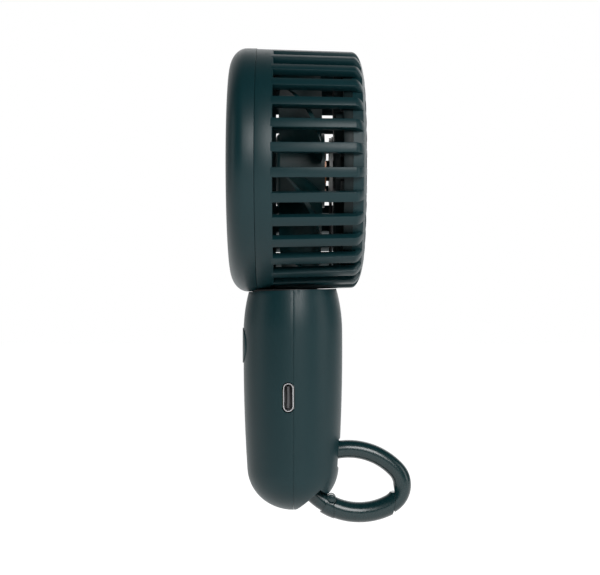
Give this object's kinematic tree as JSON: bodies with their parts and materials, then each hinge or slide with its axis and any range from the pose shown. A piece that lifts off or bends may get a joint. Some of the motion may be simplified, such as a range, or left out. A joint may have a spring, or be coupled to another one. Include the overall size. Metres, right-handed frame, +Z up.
{
  "type": "handheld rechargeable fan",
  "caption": "Handheld rechargeable fan: round slatted head on a rounded grip with a push button, a charging port and a swinging snap ring at the bottom rear corner.",
  "frame": {"origin": "middle of the grip, on the grip's axis", "axes": "+Z up along the grip to the head, the fan's front faces -Y, the charging port faces +X"},
  "size_m": [0.0784, 0.0585, 0.1534],
  "materials": {
    "casing": "fine moulded grain, dark teal green",
    "inner_plastic": "satin moulded, very dark green",
    "impeller_plastic": "polished moulded, dark teal green",
    "button": "fine moulded grain, dark teal green",
    "ring_paint": "glossy dark teal green paint",
    "steel": "bright zinc-plated",
    "port_steel": "drawn, satin nickel",
    "lamination": "stacked sheets",
    "copper": "enamelled copper wire",
    "bronze": "sintered bronze",
    "magnet": "bonded ferrite",
    "driver_board": "white solder mask",
    "circuit_board": "green solder mask",
    "black_plastic": "moulded black",
    "cell_foil": "pouch foil",
    "wire": "silicone insulation",
    "led": "clear epoxy over phosphor",
    "clear_plastic": "clear moulded rod"
  },
  "bodies": {
    "housing": {"front_bezel": "casing", "front_grille": "casing", "grille_centre_cap": "casing", "rear_cage": "casing", "rear_hub_cap": "casing", "motor_bracket": "inner_plastic", "motor_screws": "steel", "stator_core": "lamination", "stator_windings": "copper", "motor_driver_board": "driver_board", "front_bearing": "bronze", "rear_bearing": "bronze", "grip_front_shell": "casing", "grip_rear_shell": "casing", "tactile_switch": "steel", "main_board": "circuit_board", "board_screws": "steel", "board_parts": "black_plastic", "usb_c_shell": "port_steel", "usb_c_tongue": "black_plastic", "status_led": "led", "light_pipe": "clear_plastic", "battery_cell": "cell_foil", "battery_leads": "wire", "motor_leads": "wire"},
    "rotor": {"impeller": "impeller_plastic", "rotor_bell": "steel", "magnet_ring": "magnet", "motor_shaft": "steel", "shaft_clip": "steel"},
    "button": {"power_button": "button", "switch_plunger": "black_plastic"},
    "ring": {"carabiner_ring": "ring_paint", "gate_pin": "ring_paint", "gate_spring": "steel"},
    "gate": {"carabiner_gate": "ring_paint"}
  },
  "joints": [
    {"name": "impeller_spin", "type": "hinge", "parent": "housing", "child": "rotor", "pos_m": [0, 0, 0.0747], "axis": [0, 1, 0], "continuous": true},
    {"name": "button_press", "type": "slide", "parent": "housing", "child": "button", "axis": [0, 1, 0], "range_m": [0, 0.0004], "stiffness_N_per_m": 4000},
    {"name": "ring_swing", "type": "hinge", "parent": "housing", "child": "ring", "pos_m": [0, 0.01131, -0.02454], "axis": [-1, 0, 0], "range_deg": [0, 45]},
    {"name": "gate_open", "type": "hinge", "parent": "ring", "child": "gate", "pos_m": [0, 0.0125, -0.0317], "axis": [1, 0, 0], "range_deg": [0, 12], "stiffness_Nm_per_rad": 0.02, "springref_deg": -14.32}
  ]
}
